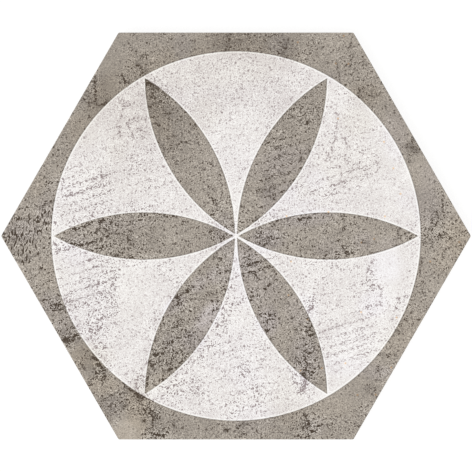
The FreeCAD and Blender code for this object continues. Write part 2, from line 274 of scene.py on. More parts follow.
# Pits, chips and cracks that stand out, each as how dark it is from 0 to 1, how broad it is, and
# x and y of the points that its line runs through. One point alone is a dot.
MARKS = (
    # left corner
    (0.9, 1.3, -124, -13.5, -120, -14.2, -117, -12.8, -112, -10.3),
    (0.4, 0.9, -125, -2.8, -125.2, 3.2), (0.5, 1, -124, 15, -121, 15.8, -118, 15.5, -116.5, 12.5),
    (0.5, 1, -116, 12, -118, 10, -121, 9),
    (0.8, 1.4, -102.8, 19.8, -105, 19.2, -108, 17.2, -111, 16.8),
    (0.6, 1.1, -103.6, 12.2, -105.5, 13.8, -109, 12), (0.6, 1.1, -106, 11.3, -111, 10.4),
    (0.9, 1.6, -108.2, 7), (0.9, 1.5, -111.5, 8), (0.8, 1.5, -113, 4.4), (0.7, 1.3, -113.5, -2.2),
    (0.8, 1.5, -110.2, -18.6), (0.8, 1.6, -105.8, 26), (0.5, 1.2, -117, 22.5, -114.5, 24),
    (0.6, 1.4, -101.2, 28.5),
    # left petal
    (0.35, 1.2, -101.5, -8.6, -98, -6.8, -93.5, -5.2), (1, 1.5, -93, -4.3, -90, -5.2, -87, -5.2),
    (0.9, 1.1, -86, -4.8, -83, -4.3, -80.5, -3.7),
    (0.8, 1.2, -79.5, -3.4, -77, -3, -75.5, -0.9, -74, -0.4), (0.7, 1.2, -73, -0.2, -70.3, 1.6),
    (0.9, 1.5, -86, 5.2), (0.7, 1.3, -91.6, 4, -90, 3.2), (0.8, 1.3, -79, 2, -77.4, 3.6, -76.8, 5),
    (0.9, 1.5, -76.4, 7.6), (0.7, 1.3, -77, 9.3, -75, 8.4),
    (0.7, 1.3, -73, 2.6, -71, 4.2, -69.8, 8.6), (1, 1.6, -69.5, -11, -65.5, -11),
    (0.7, 1.3, -63.5, -9.2), (0.6, 1.1, -68.5, 1.6, -64, 1),
    (0.8, 1.5, -61, -1, -60, -4.2, -58, -4.8), (0.9, 1.6, -59.6, -11.8, -58.2, -12.2),
    (0.8, 1.4, -60.5, 3.4, -58.8, 2.4), (0.7, 1.3, -43.5, -8.7), (0.6, 1.2, -40.5, -5),
    # pale field on the left
    (0.9, 1, -95.5, 22.4, -93, 23, -90.5, 23.8, -86, 25.4),
    (0.82, 1.3, -83.5, 27, -80, 28.4, -77.5, 30, -75, 31.8, -76.2, 36.4),
    (0.65, 1, -90, 36, -84, 38.8), (0.56, 1.1, -89, -17.5, -86, -16.2),
    (0.5, 1.5, -84, -28, -79, -27.6), (0.55, 1.6, -78, -32, -74.5, -33),
    (0.75, 1.3, -66.5, 78, -65, 75, -64.2, 72.5, -64, 70.5), (0.7, 1.4, -64.8, 68.5, -64.8, 66.5),
    (0.6, 1.6, -62.5, 75, -61.5, 73.8), (0.7, 1.3, -59.6, 74.4, -59.1, 73),
    (0.6, 1.3, -67.4, 64.5, -66.2, 61, -65.4, 56.5),
    (0.75, 1.5, -60, 65.5, -61.6, 63.4, -60.6, 61.2, -59, 59, -58.2, 55.8),
    (0.6, 1.4, -57.6, 67, -56.8, 65), (0.65, 1.3, -55.5, 60.6, -53, 59.6, -51.4, 58.2),
    (0.6, 1.5, -53.6, 55.6, -53, 53.2), (0.55, 1.3, -64.6, 51.4, -62, 51, -60.6, 53.6),
    (0.6, 1.3, -68.6, 50.2, -67.4, 48.4), (0.5, 1.3, -54.8, 67.6, -52, 67, -50.8, 65),
    (0.5, 1.3, -58.8, 47, -58, 44, -56.6, 42.4), (0.95, 1.8, -74, -63),
    (0.56, 1.4, -70, -63, -66, -61), (0.56, 1.6, -82, -57, -84, -58.5),
    (0.56, 1.5, -79, -50.5, -77, -53, -79.5, -55),
    # lower left border
    (1, 1.6, -103, -42, -101.5, -41.4), (1, 1.5, -102.4, -38.8, -100.6, -38.4),
    (1, 1.6, -99.5, -41.6, -97, -40.4), (0.82, 1.3, -111, -36.6, -108, -36),
    (1, 1.9, -96, -60, -94, -59.8), (1, 1.5, -92.4, -59, -91.8, -57.6),
    (1, 1.3, -98, -58.6, -95.5, -57.8), (0.94, 1.3, -93, -55.4, -90, -56),
    (1, 1.8, -81.5, -68.6, -79, -69.4), (1, 1.9, -78, -72.4, -76, -73.6, -74.6, -76),
    (1, 1.6, -74.5, -78.4, -73.4, -80.4, -76, -81), (0.94, 1.3, -87, -73, -85, -75.4),
    (0.82, 1.6, -82.4, -82.6), (0.82, 1.3, -79, -76.8, -80.6, -80.4),
    (0.82, 1.4, -63.5, -83.4, -61.5, -86, -59, -87.6), (1, 1.8, -58, -88, -55, -89.6, -52.6, -91),
    (0.82, 1.3, -56, -92, -54.5, -94.2), (0.7, 1.9, -63.5, -96.4),
    (0.75, 1, -55.5, -96.6, -54.8, -99.6, -53, -101, -50, -100.2),
    (0.82, 1, -53.4, -98, -51, -98.6, -50, -97, -51, -95.4, -53.2, -96),
    (0.94, 1, -49.6, -97.2, -47, -99.2, -45.6, -100.2),
    (0.82, 1, -49, -99.8, -47, -102.4, -44.6, -103.4), (0.82, 1.9, -52.2, -104.4),
    (0.7, 1.3, -47, -104, -47.4, -108, -50, -109),
    (1, 1.05, -48, -111.2, -46, -112, -43, -112.6, -40.6, -113, -39, -111.4),
    (1, 1.6, -52, -112.2), (1, 1.7, -35, -105, -34.8, -107.4),
    (0.82, 1.3, -40, -108.4, -41.4, -109.6),
    # lower left petal
    (1, 3, -49, -71.6), (0.9, 2, -47, -73.4), (0.8, 1.5, -50.2, -80, -50.4, -83),
    (0.8, 1.4, -41, -81), (0.8, 1.3, -44.8, -84.2), (0.8, 1.4, -44, -67.4, -46.4, -67),
    (0.8, 1.3, -38.6, -71.4, -36.6, -72.6), (0.9, 1.5, -32, -72.4, -30, -71.4),
    (0.7, 1.3, -41.5, -74, -41, -76), (0.7, 1.2, -38, -76.4, -35, -74.4), (0.7, 1.4, -33, -57.6),
    (0.7, 1.4, -43, -52.6, -41.6, -50), (0.7, 1.4, -36, -52), (0.7, 1.3, -31.4, -50.6),
    (1, 1.5, -29, -32, -27.6, -30.8), (1, 1.9, -24.4, -28.8), (1, 2.2, -33, -34.8),
    (0.8, 1.4, -31.6, -36.4, -33, -38.8), (0.7, 1.3, -37, -42), (0.8, 1.2, -20, -28.4, -19, -29.6),
    (0.8, 1.3, -14.4, -32, -12, -33), (0.7, 1.2, -17, -36, -14, -36.6, -11.6, -36.4),
    (0.9, 1.6, -12.6, -42), (0.6, 1.3, -22, -46.4, -20, -45.8),
    (0.7, 1.3, -10, -16.8, -9.2, -18.8), (0.9, 1.6, -5.6, -19.3),
    (0.7, 1.3, -12.4, -12, -11, -12.6), (0.7, 1.3, -8.8, -12.6), (0.8, 1.4, -5, -30),
    (0.8, 1.4, -6.6, -33),
    # upper left border and petal
    (0.9, 1.7, -75.8, 74, -73.4, 75.4, -72.4, 77.4),
    (0.8, 1.7, -79.4, 90, -78.8, 88.2, -79.8, 86, -79.8, 82.6, -79.4, 80),
    (0.7, 1.5, -79, 78.6, -79.2, 76, -78.2, 73.6), (0.5, 1.1, -87, 78, -84.4, 75.4, -81, 75),
    (0.8, 1.4, -64.4, 91, -63, 88, -62, 86.6, -60.4, 87.4), (0.8, 1.6, -55.8, 96.4),
    (0.5, 3, -51.4, 93), (0.45, 1.1, -61, 109.6, -58, 105, -56, 103), (0.4, 2, -58.8, 102),
    (0.45, 1.1, -54, 100.4, -51, 102.4, -48.6, 101.8), (0.4, 1, -57, 113.4, -55.4, 111),
    (1, 2.2, -49.6, 87.2, -47, 85.4, -44.4, 83.6), (0.8, 1.6, -47.6, 83, -45.6, 84),
    (0.9, 1.7, -42.6, 76), (0.9, 1.6, -49, 73.4), (0.7, 1.3, -45, 75), (0.7, 1.4, -47, 79),
    (0.7, 1.5, -38.8, 69), (0.7, 1.4, -43.6, 62.8), (0.7, 1.5, -41.2, 47.4, -40.6, 45),
    (0.6, 1.3, -41.8, 51), (0.5, 1.3, -31.6, 53, -27.6, 52.6), (0.6, 1.3, -22.6, 52.4),
    (0.4, 1, -38, 49, -35, 49.6), (0.3, 3.2, -24, 61.6), (0.3, 3.6, -33, 39.8),
    (0.6, 1.2, -19, 41.2), (0.5, 1.1, -15.4, 41, -13.4, 40.6), (0.8, 1.7, -18.2, 38),
    (0.9, 1.4, -12, 26), (0.7, 1.9, -12.4, 20.4), (0.6, 1.3, -12, 17.4, -11, 17),
    # top border
    (0.4, 2.6, -4.4, 114, -4.8, 106), (0.4, 3, 28.6, 110, 28.2, 107),
    (0.45, 2.6, 24.6, 104.6, 28, 101.6), (0.7, 1.6, 48.4, 106.6), (0.7, 1.5, 45.6, 102.6),
    (0.4, 1.8, 41, 107.8), (0.6, 1.1, 57, 98, 57.6, 94, 58.4, 90, 58.4, 87.4),
    (0.45, 1.1, 65.6, 112, 64.6, 108, 63.6, 105.4), (0.35, 1, 57.6, 110, 60, 112.4),
    (0.6, 1.7, 72.6, 96.6), (0.6, 1.4, 72, 101.6), (0.5, 1.7, 65, 99.6, 66.6, 102.6),
    (0.4, 2, 78.6, 89.6), (0.9, 1.6, 69.2, 78.6), (0.4, 3, 71, 82.4),
    (0.5, 1.5, 75, 79.6, 78, 78.4, 80.4, 80),
    # upper right petal
    (0.6, 1, 31, 68, 35, 65, 39, 67.4), (0.5, 1.4, 40, 63, 40.8, 65), (1, 1.4, 2.4, 16.6),
    (0.5, 1.2, 4.9, 16.6), (0.7, 2.2, 11, 9, 12.4, 10), (0.7, 1.4, 10.6, 14),
    (0.6, 1.3, 15, 25.6, 16.4, 26.4), (0.7, 1.3, 18.4, 25.6), (0.5, 1.2, 21, 28, 22, 26.4),
    (0.5, 1.6, 20.6, 21.4, 22, 21.4), (0.3, 4.4, 18.4, 32.4), (0.35, 4.4, 13.6, 25.6),
    (0.3, 3.6, 6.6, 26), (0.6, 1.5, 16.4, 34.6), (0.8, 1.5, 21.6, 54.6),
    (0.5, 1.2, 24.6, 54.4, 26, 56), (0.8, 1.3, 22.6, 50.4, 24.6, 51), (0.8, 1.5, 24.8, 45),
    (0.6, 1.3, 26.6, 46.6, 28.2, 47.2), (0.8, 1.4, 31, 43.6), (0.6, 1.3, 34.6, 45, 36, 45.4),
    (0.8, 1.5, 36.8, 42.4), (0.9, 1.5, 41.8, 48), (0.6, 1.3, 38.8, 47),
    (0.7, 1.1, 27.4, 34.2, 30, 35.6), (0.5, 1.1, 24, 36.4, 26.4, 36),
    # right petal
    (0.9, 1.5, 15, -5.6, 17.4, -4.2), (0.8, 1.4, 17, -1, 19.6, -0.6),
    (0.6, 1.2, 15, -2.4, 13.4, -3.4), (1, 1.6, 35.4, 9.2, 38, 9.8),
    (0.9, 1.4, 40.6, 9.8, 41.8, 10.4), (0.4, 1.3, 45, 13, 51, 13.2),
    (0.9, 1, 43, -5.8, 44.4, -5.7), (0.5, 1, 44, -2.4, 47, -1), (0.7, 1.4, 57.8, -2.4),
    (0.8, 1.3, 60, -5.8, 61.6, -9, 63, -10.6, 65.4, -9.6), (0.6, 1.2, 68, -5, 70, -4, 73, -4),
    (0.6, 1.2, 74.6, -3, 74.2, -7, 75.6, -10), (0.5, 1.2, 51, -8, 50, -12),
    (0.6, 1.3, 60.8, 12.4, 60.9, 8, 61.2, 3.4, 60, 2.2, 57.8, 1.4), (0.5, 1, 52, 12, 55, 10.4),
    (0.5, 1.2, 76.4, 9, 75.4, 7), (0.7, 1.3, 92.6, 4.6, 91.4, 2.4), (0.8, 1.2, 95, 1, 98.6, 2.4),
    (0.6, 1.3, 98, -1.4), (0.7, 1.3, 90, -5.4), (0.4, 1.2, 92.4, -0.6, 88, -3),
    # right corner
    (1, 1.1, 118, 1.8, 119.2, 0.8, 120.4, -0.4), (0.7, 1, 114.6, 0, 116, -0.6, 117.6, -1),
    (0.8, 1.2, 110.8, -0.8, 111, -3, 110.8, -4.8), (0.7, 1.6, 106.8, -4), (0.7, 1.3, 106.4, 0.2),
    (0.6, 1.2, 111.4, 14, 110.6, 11, 110.6, 7.4), (0.7, 1.2, 116.6, 21, 116.8, 17, 116.4, 13.4),
    (0.6, 1.2, 113.6, 14, 114, 10, 113.6, 7), (0.6, 1.2, 109.4, 5.4, 111, 3),
    (0.6, 1.3, 105.2, -13, 104, -18, 103.8, -21), (0.5, 1.1, 105.5, -25, 105.3, -30, 105.5, -33),
    (0.5, 1.1, 108, -23, 110.6, -22.4, 112.2, -20.4),
    (0.5, 1.1, 114, -22.6, 116, -21.4, 117.6, -19), (0.6, 1.3, 117.4, -11),
    (0.6, 1.2, 117.8, -8, 120.2, -6.8), (0.6, 1.2, 123.8, 1, 124.6, 3.4), (0.7, 1.4, 128.4, 2.4),
    (0.45, 3.6, 98, 51.2, 101.6, 48.4), (0.5, 1.6, 96, 50), (1, 1.3, 99.7, 54.2),
    (0.4, 1.4, 97.6, 45, 97.8, 41.6),
    # pale field on the right
    (0.6, 1.3, 55.6, 70.5, 56.6, 67.6, 57.6, 65.5), (0.5, 1.3, 59.6, 69, 61, 67.4, 62, 65.8),
    (0.6, 1.3, 57.2, 63, 56.6, 60.8), (0.8, 1.5, 56.2, 56.2, 56.2, 54, 54.8, 52.2),
    (0.7, 1.3, 54, 50, 54.4, 48), (0.65, 1.3, 61.4, 55.4, 62.6, 52.6, 63, 49),
    (0.65, 1.4, 61.5, 46, 61.4, 43.6, 62.6, 41.6), (0.6, 1.4, 50.2, 42.8, 51.2, 44.2, 53, 45),
    (0.6, 1.8, 52, 46), (0.55, 1.2, 57.6, 40, 59.4, 37.4, 59.8, 33.4, 58.6, 31, 60.6, 30.6),
    (0.55, 1.2, 61, 33, 63, 33.6, 65.2, 32.6, 67.6, 33.4), (0.6, 1.7, 52, 31.5),
    (0.4, 2.4, 52, 37.6), (0.55, 1.3, 55, 29, 57.6, 27.8, 60, 28.6, 62, 27.2),
    (0.55, 1.3, 65, 39.2, 67.6, 41, 70, 41.6), (0.5, 1.3, 70, 36.4, 73, 37, 76.4, 38),
    (0.6, 1.4, 78.6, 46, 80.2, 44.6), (0.5, 1.3, 79.4, 42, 81, 39, 80, 37.4),
    (0.56, 1.1, 91, 8.4, 93, 8.8), (0.73, 1.2, 98, -19.6), (0.82, 1.3, 77, -14.4, 78.2, -13.6),
    (0.73, 1.3, 74, -20.4, 75.4, -17), (0.65, 1.3, 72, -26, 74, -23),
    (0.82, 1.4, 75, -28, 78, -27.6), (0.95, 1.2, 80, -28.2, 82, -30),
    (0.82, 1.2, 82, -32, 82, -34), (0.9, 1.3, 81.4, -37, 82, -38.8),
    (0.9, 1.3, 74, -40, 76.2, -39.4), (0.65, 1.5, 75.6, -43.4), (0.73, 1.3, 70.6, -47.4),
    (0.73, 1.3, 92, -35, 94.2, -35), (0.73, 1.2, 92, -38, 92, -41), (0.82, 2, 42.6, -37.6),
    (0.73, 1.6, 41, -42.6, 43, -41), (0.56, 1, 47, -54, 50, -53.6, 54, -52.4, 57, -51, 61, -50),
    (0.65, 1, 60, -61.6, 63, -61, 68, -59.4, 72, -58.6, 75, -58), (0.56, 1, 56, -67, 61, -66),
    (0.47, 1, 70, -65, 78, -63.4), (0.65, 1, 64, -70.2, 69, -69.4, 74, -67.6),
    (0.65, 4.2, 37, -87), (0.65, 2.4, 38.4, -83.6), (0.39, 2.4, 33, -82),
    # lower right petal
    (0.9, 1.4, 8, -13.4), (0.9, 1.3, 11, -15), (0.6, 1.1, 9, -16.6, 7, -16), (0.6, 1.3, 17, -13.8),
    (0.6, 1.1, 5, -9, 8, -7.6), (0.8, 1.2, 6.4, -20.6, 8, -20.4),
    (0.5, 1, 10, -19.4, 14, -18.4, 18.4, -16.4), (0.8, 1.2, 10.3, -21), (0.8, 1.3, 3.4, -21),
    (0.7, 1.3, 21.4, -19.4), (0.4, 1, 12, -23, 15, -22, 17, -20.4), (1, 1.4, 22.8, -24.8),
    (0.7, 1.2, 20.6, -26.2, 19, -27.4), (1, 1.5, 16.6, -29.8), (0.9, 1.4, 9, -34.6),
    (0.6, 1.2, 8.4, -32), (0.9, 1.4, 13.6, -40.2), (0.8, 1.6, 13, -45), (0.9, 1.8, 15.8, -51.4),
    (0.6, 1.3, 18, -54), (0.6, 1.2, 19, -44.4, 22, -44), (0.6, 1.3, 17.4, -48.4, 20, -47),
    (0.9, 1.4, 32, -46.3), (0.6, 1.3, 28.6, -26.6), (0.6, 1.2, 33.6, -39), (0.3, 3.6, 27, -37),
    (0.8, 1.4, 41.6, -46.4, 41, -50, 42.4, -52), (0.9, 1.4, 40, -54, 41.2, -56.6, 44, -55.4),
    (1, 1.9, 38, -65.6, 39.4, -65), (0.8, 1.4, 41.4, -66.2),
    (1, 1.7, 38.8, -68, 39.6, -71, 40, -74), (0.8, 1.6, 42.6, -72.6), (0.8, 1.5, 34, -69),
    (0.7, 1.3, 33, -71.6, 35.6, -71), (1, 1.7, 36.6, -78, 38.4, -76, 42, -76.6),
    (1, 1.8, 38, -79, 40.4, -80.6), (0.9, 1.4, 43.4, -77.8, 41.6, -79.2), (0.7, 1.4, 44.6, -83),
    # bottom border and the pale field above it
    (0.8, 1.4, 38.6, -100, 39, -102, 40, -104), (0.8, 1.5, 37.4, -106.4, 37.6, -109),
    (0.7, 1.3, 41, -105, 40, -108), (0.9, 1.5, 42.4, -110.6, 41.2, -112), (0.7, 1.3, 40.2, -113.6),
    (0.6, 1.1, 41, -104.4, 44, -104), (1, 1.4, 45.6, -107.6, 48.6, -106.6),
    (0.9, 1.2, 50.4, -107, 53.6, -106.6), (0.8, 2.3, 1.6, -107.8), (1, 2.2, -5.4, -109.6),
    (0.8, 1.3, 4, -106, 6, -106.2), (0.6, 1.3, 12, -107, 10.6, -108.4), (0.35, 3.6, 4, -112),
    (0.7, 1.5, 74.9, -84.4), (0.25, 5, 75.4, -87.4), (0.9, 1.2, 79.8, -81.3, 81.4, -81.4),
    (0.5, 1.1, 77.4, -82, 79, -81.8), (0.7, 1.2, 76.6, -88, 79, -87),
    (0.7, 1.4, 80, -74, 80.6, -76), (0.8, 1.5, 81, -67), (0.7, 1.4, 83.6, -66.4),
    (0.6, 1.4, 86, -68.4), (0.7, 1.3, 88.8, -65.6, 90, -67), (0.7, 1.4, 85.4, -59),
    (0.8, 1.5, 90, -53, 92, -54.6), (0.6, 1.4, 95.4, -47.4),
    (0.35, 1.2, -6, -39.4, -2, -37.6, 1.6, -37), (0.4, 1.5, -9, -41.4, -8, -43),
    (0.4, 1.5, -8, -48, -6, -51, -5, -54), (0.4, 1.8, 5.6, -75, 7, -76.2),
    (0.45, 1.1, 13, -74.6, 15, -71, 16, -69.4), (0.35, 1.2, 1, -73, 3, -72.8), (0.4, 1.2, 6, -71),
    (0.35, 1.2, 8.4, -79, 9, -81), (0.35, 1.4, 12, -86, 13, -89), (0.35, 1.3, 19, -89.4, 21, -88),
    (0.4, 1.6, 11.4, -93.6), (0.3, 1.2, -1, -65, 1, -68),
    (0.4, 1.6, -54.4, -79, -57, -84, -55, -87), (0.35, 1.8, -33.6, -84.6), (0.35, 2, -22.4, -87.6),
    (0.3, 1.3, -19, -66, -19.4, -73),
)

# How far from its line a mark is still followed and how far it counts, how its ends fade, and how
# long a lone dot is.
MARK_REACH = 3
MARK_COUNTS = 1.4
MARK_FADE = 0.9
MARK_ROUND = 0.25
DOT_LENGTH = 0.5


def turned(x, y, slope):
    """The distances along and across a direction that rises by a slope in degrees."""
    rise, run = math.sin(math.radians(slope)), math.cos(math.radians(slope))
    return x * run + y * rise, y * run - x * rise


def patched(x, y, usual, patches):
    """A value at each point of the face, from its usual amount and the patches that change it."""
    values = np.full(len(x), float(usual))
    for middle_x, middle_y, reach, breadth, value, *others in patches:
        slope, edge = others + [0, 1][len(others):]
        along, across = turned(x - middle_x, y - middle_y, slope)
        distance = np.hypot(along / reach, across / breadth)
        # A patch is full up to half of its reach and gone at one and a half, or closer to its
        # outline where its edge is narrower.
        share = np.clip(0.5 + (1 - distance) / edge, 0, 1)
        share = share * share * (3 - 2 * share)
        values += (value - values) * share
    return values


def nearest_mark(x, y):
    """The distance across to the line of the nearest mark, half that mark's breadth, and its
    darkness. The distance keeps its side as a sign, so that a thin line isn't lost between two
    points of the mesh."""
    nearest = np.full(len(x), float(MARK_REACH))
    across, half, darkness = nearest.copy(), np.full(len(x), 0.5), np.zeros(len(x))
    for dark, breadth, *places in MARKS:
        line = list(zip(places[::2], places[1::2]))
        if len(line) == 1:
            middle_x, middle_y = line[0]
            line = [(middle_x - DOT_LENGTH / 2, middle_y), (middle_x + DOT_LENGTH / 2, middle_y)]
        for start, end in zip(line, line[1:]):
            run_x, run_y = end[0] - start[0], end[1] - start[1]
            length = math.hypot(run_x, run_y)
            along = ((x - start[0]) * run_x + (y - start[1]) * run_y) / length
            aside = ((x - start[0]) * run_y - (y - start[1]) * run_x) / length
            beyond = np.maximum(np.maximum(-along, along - length), 0)
            outside = np.hypot(aside, beyond) - breadth / 2
            closer = outside < nearest
            nearest = np.where(closer, outside, nearest)
            across = np.where(closer, aside, across)
            half = np.where(closer, breadth / 2, half)
            # A line ends round, and is gone a little beyond its end.
            left = 1 - np.maximum(beyond - breadth / 2 + MARK_ROUND, 0) / MARK_FADE
            darkness = np.where(closer, dark * np.clip(left, 0, 1), darkness)
    return across, half, np.where(nearest < MARK_COUNTS, darkness, 0)


# The tile's mesh

FACE, SIDE, BACK = range(3)
RING_POINTS = SIDES * FACE_RINGS
# What the shaders read at each point of the mesh.
POINT_VALUES = (
    "wear", "shade", "warmth", "lined_up", "maze", "across_mark", "mark_half", "mark_darkness",
)
# The keying cells reach less far than this from the middle, and keep off the flats by this much.
CELLS_WITHIN = 131
CELLS_OFF_FLATS = 2
HAIR = 0.01
SAME_POINT = 1e-7


def to_nearest_flat(x, y):
    """The distance from the middle towards the nearest straight side."""
    bearings = np.radians(np.arange(30, 390, 60))
    return np.max([x * math.cos(b) + y * math.sin(b) for b in bearings], axis=0)


def hexagon_ring(to_flat, steps, gather):
    """The points of a hexagon with rounded corners, anticlockwise from the corner on +X."""
    side = 2 * to_flat / math.sqrt(3)
    radius = max(to_flat - CORNER_MIDDLES, 0)
    along = np.arange(steps) * side / steps
    to_corner = np.minimum(along, side - along)
    pulled = to_corner * (1 - CORNER_PULL * gather * np.exp(-to_corner / CORNER_REACH))
    along = np.where(along <= side / 2, pulled, side - pulled)
    # The first side runs from the corner on +X to the next one.
    x = side - along / 2
    y = along * math.sqrt(3) / 2
    for corner in range(2):
        middle = 2 * min(to_flat, CORNER_MIDDLES) / math.sqrt(3)
        middle_x = middle * math.cos(corner * math.pi / 3)
        middle_y = middle * math.sin(corner * math.pi / 3)
        out = np.hypot(x - middle_x, y - middle_y)
        rounded = pulled < radius * math.tan(math.pi / 6)
        rounded &= (np.arange(steps) < steps / 2) == (corner == 0)
        scale = np.where(rounded, radius / np.maximum(out, 1e-9), 1)
        x = middle_x + (x - middle_x) * scale
        y = middle_y + (y - middle_y) * scale
    turns = np.arange(SIDES)[:, None] * math.pi / 3
    ring_x = x * np.cos(turns) - y * np.sin(turns)
    ring_y = x * np.sin(turns) + y * np.cos(turns)
    return ring_x.ravel(), ring_y.ravel()


def side_profile():
    """The distance to the middle and the height of each row of points below the face's flat."""
    rows = []
    for step in range(1, ARRIS_STEPS + 1):
        angle = step / ARRIS_STEPS * math.pi / 2
        rows.append((
            FLAT_TO_MIDDLE - ARRIS_RADIUS * (1 - math.sin(angle)),
            FACE_HEIGHT - ARRIS_RADIUS * (1 - math.cos(angle)),
        ))
    band_foot = FACE_HEIGHT - BAND_HEIGHT
    rows += [(FLAT_TO_MIDDLE, height) for height in (*BAND_ROWS, band_foot)]
    for height in (*LOWER_ROWS, BACK_BEVEL * math.cos(SIDE_DRAFT)):
        rows.append((FLAT_TO_MIDDLE - (band_foot - height) * math.tan(SIDE_DRAFT), height))
    rows.append((FLAT_TO_MIDDLE - band_foot * math.tan(SIDE_DRAFT) - BACK_BEVEL, 0))
    return rows


def face_relief(x, y):
    """How far the glazed face dips below its highest level: soft waves and shallow worn pits."""
    wear = patched(x, y, WEAR_USUAL, WEAR)
    dip = np.empty(len(x))
    for i, (px, py, worn) in enumerate(zip(x, y, wear)):
        waves = noise.noise(Vector((px / WAVE_WIDTH, py / WAVE_WIDTH, 3.1)))
        ripples = noise.noise(Vector((px / RIPPLE_WIDTH, py / RIPPLE_WIDTH, 8.7)))
        pits = noise.noise(Vector((px / PIT_WIDTH, py / PIT_WIDTH, 14.3)))
        dip[i] = FACE_DIP + WAVE_DEPTH * waves + RIPPLE_DEPTH * ripples
        dip[i] += PIT_DEPTH * worn * max(pits - PIT_FROM, 0)
    return np.clip(dip, 0, DEEPEST)


def cell_loops(cells):
    """The mouth of each keying cell, as its points in order, anticlockwise from above."""
    loops = []
    left = {edge for edge in cells.edges if len(edge.link_faces) == 1}
    while left:
        edge = min(left, key=lambda e: e.index)
        first, point = edge.verts
        loop = [first]
        left.discard(edge)
        while point != first:
            loop.append(point)
            edge = next(e for e in point.link_edges if e in left)
            left.discard(edge)
            point = edge.other_vert(point)
        turn = sum(a.co.x * b.co.y - b.co.x * a.co.y for a, b in zip(loop, loop[1:] + loop[:1]))
        loops.append(loop if turn > 0 else loop[::-1])
    return loops


def keying_cells(node):
    """The walls and floors of the back's cells, taken from the solid."""
    cells = bmesh.new()
    cells.from_mesh(node.data)
    bmesh.ops.remove_doubles(cells, verts=cells.verts, dist=SAME_POINT)
    others = []
    for face in cells.faces:
        top = max(vert.co.z / MM for vert in face.verts)
        middle = face.calc_center_median() / MM
        in_cell = HAIR <= top < CELL_DEPTH + HAIR and middle.xy.length < CELLS_WITHIN
        to_flat = to_nearest_flat(middle.x, middle.y)
        if not in_cell or to_flat > CORNER_MIDDLES - CELLS_OFF_FLATS:
            others.append(face)
    bmesh.ops.delete(cells, geom=others, context="FACES")
    cells.verts.index_update()
    cells.edges.index_update()
    return cells


def face_and_side_points(profile):
    """The points of the face, ring by ring from its middle, and of the sides, row by row."""
    flat_edge = FLAT_TO_MIDDLE - ARRIS_RADIUS
    parts = [(np.zeros(1), np.zeros(1), np.full(1, float(FACE_HEIGHT)))]
    for ring in range(1, FACE_RINGS + 1):
        gather = np.clip((ring - FACE_RINGS) / CORNER_RINGS + 1, 0, 1)
        gather = gather * gather * (3 - 2 * gather)
        ring_x, ring_y = hexagon_ring(flat_edge * ring / FACE_RINGS, ring, gather)
        parts.append((ring_x, ring_y, np.full(len(ring_x), float(FACE_HEIGHT))))
    for to_flat, height in profile:
        ring_x, ring_y = hexagon_ring(to_flat, FACE_RINGS, 1)
        parts.append((ring_x, ring_y, np.full(len(ring_x), float(height))))
    x, y, z = (np.concatenate(part) for part in zip(*parts))
    # The solid's round corners are facetted, so at its points it is a hair narrower than 265.2.
    low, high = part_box(TILE)
    x = np.clip(x, low[0] / MM, high[0] / MM)
    # The relief fades out towards the arris, whose first row stays level.
    inner = slice(0, len(x) - RING_POINTS * (len(profile) + 1))
    depth_in = flat_edge - to_nearest_flat(x[inner], y[inner])
    z[inner] -= face_relief(x[inner], y[inner]) * np.clip(depth_in / LEVEL_RIM, 0, 1)
    return x, y, z


def face_and_side_faces(rows):
    """The faces between one ring of the face and the next, and between the rows of the sides."""
    faces = []
    for ring in range(1, FACE_RINGS + 1):
        outer_first = 1 + 3 * ring * (ring - 1)
        inner_first = 1 + 3 * (ring - 1) * (ring - 2) if ring > 1 else 0
        inner_count = max(SIDES * (ring - 1), 1)
        for side in range(SIDES):
            for step in range(ring):
                out = outer_first + side * ring + step
                out_next = outer_first + (side * ring + step + 1) % (SIDES * ring)
                inside = inner_first + (side * (ring - 1) + step) % inner_count
                faces.append((inside, out, out_next))
                if step < ring - 1:
                    inside_next = inner_first + (side * (ring - 1) + step + 1) % inner_count
                    faces.append((inside, out_next, inside_next))
    kinds = [FACE] * len(faces)
    for row in range(rows):
        upper = 1 + 3 * FACE_RINGS * (FACE_RINGS - 1) + row * RING_POINTS
        lower = upper + RING_POINTS
        for i in range(RING_POINTS):
            j = (i + 1) % RING_POINTS
            faces.append((upper + i, lower + i, lower + j, upper + j))
    kinds += [SIDE] * (len(faces) - len(kinds))
    return faces, kinds


def back_points_and_faces(node, x, y):
    """The back's cells, as the solid has them, and the ribs and rim between its outer edge and
    the mouths of the cells."""
    cells = keying_cells(node)
    first_cell_point = len(x)
    flat_ids = list(range(first_cell_point - RING_POINTS, first_cell_point))
    flat = [Vector((x[i], y[i])) for i in flat_ids]
    outlines = [list(range(RING_POINTS))]
    for loop in cell_loops(cells):
        outlines.append(list(range(len(flat), len(flat) + len(loop))))
        flat += [Vector((vert.co.x / MM, vert.co.y / MM)) for vert in loop]
        flat_ids += [first_cell_point + vert.index for vert in loop]
    filled = geometry.delaunay_2d_cdt(flat, [], outlines, 1, SAME_POINT)
    to_input = [sources[0] for sources in filled[3]]
    faces = []
    for triangle, sources in zip(filled[2], filled[5]):
        if sources == [0]:
            a, b, c = (flat_ids[to_input[i]] for i in triangle)
            faces.append((a, c, b))
    for face in cells.faces:
        faces.append(tuple(first_cell_point + vert.index for vert in face.verts))
    points = np.array([vert.co for vert in cells.verts]).T / MM
    cells.free()
    return points, faces


